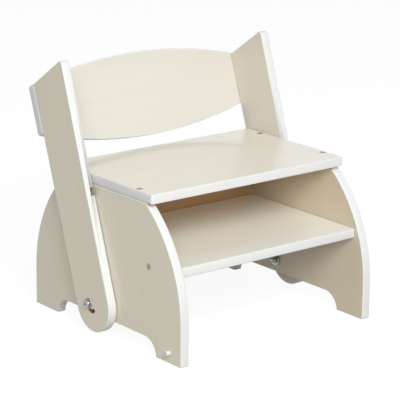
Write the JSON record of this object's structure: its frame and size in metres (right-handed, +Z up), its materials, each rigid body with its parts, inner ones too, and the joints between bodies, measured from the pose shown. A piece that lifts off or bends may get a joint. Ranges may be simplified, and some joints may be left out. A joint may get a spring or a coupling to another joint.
{
  "type": "step chair",
  "caption": "Low step chair with a shelf for books; its back frame flips forward over the seat to lie on the floor as the lower step.",
  "frame": {"origin": "on the floor, under the middle of the stool", "axes": "+Z up, the sitter faces -Y, +X across the width to the viewer's right"},
  "size_m": [0.359, 0.3209, 0.3516],
  "materials": {
    "lacquered_ply": "pale plywood under a satin lacquer",
    "dowel": "plain dowel",
    "zinc": "bright zinc plate"
  },
  "bodies": {
    "stool": {"seat_board": "lacquered_ply", "shelf_board": "lacquered_ply", "back_board": "lacquered_ply", "left_leg_panel": "lacquered_ply", "right_leg_panel": "lacquered_ply", "left_latch_peg": "dowel", "right_latch_peg": "dowel", "left_stop_peg": "dowel", "right_stop_peg": "dowel", "left_pivot_bolt": "zinc", "right_pivot_bolt": "zinc", "left_head_washer": "zinc", "right_head_washer": "zinc", "left_spacer_washer": "zinc", "right_spacer_washer": "zinc", "left_nut_washer": "zinc", "right_nut_washer": "zinc", "left_lock_nut": "zinc", "right_lock_nut": "zinc", "left_front_seat_screw": "zinc", "left_rear_seat_screw": "zinc", "right_front_seat_screw": "zinc", "right_rear_seat_screw": "zinc", "left_front_shelf_screw": "zinc", "left_rear_shelf_screw": "zinc", "right_front_shelf_screw": "zinc", "right_rear_shelf_screw": "zinc", "left_lower_back_screw": "zinc", "left_upper_back_screw": "zinc", "right_lower_back_screw": "zinc", "right_upper_back_screw": "zinc"},
    "back_frame": {"left_side_plank": "lacquered_ply", "right_side_plank": "lacquered_ply", "backrest_board": "lacquered_ply", "left_lower_backrest_screw": "zinc", "left_upper_backrest_screw": "zinc", "right_lower_backrest_screw": "zinc", "right_upper_backrest_screw": "zinc"}
  },
  "joints": [
    {"name": "back_frame_flip", "type": "hinge", "parent": "stool", "child": "back_frame", "pos_m": [0, 0.01148, 0.0385], "axis": [1, 0, 0], "range_deg": [0, 108.65]}
  ]
}
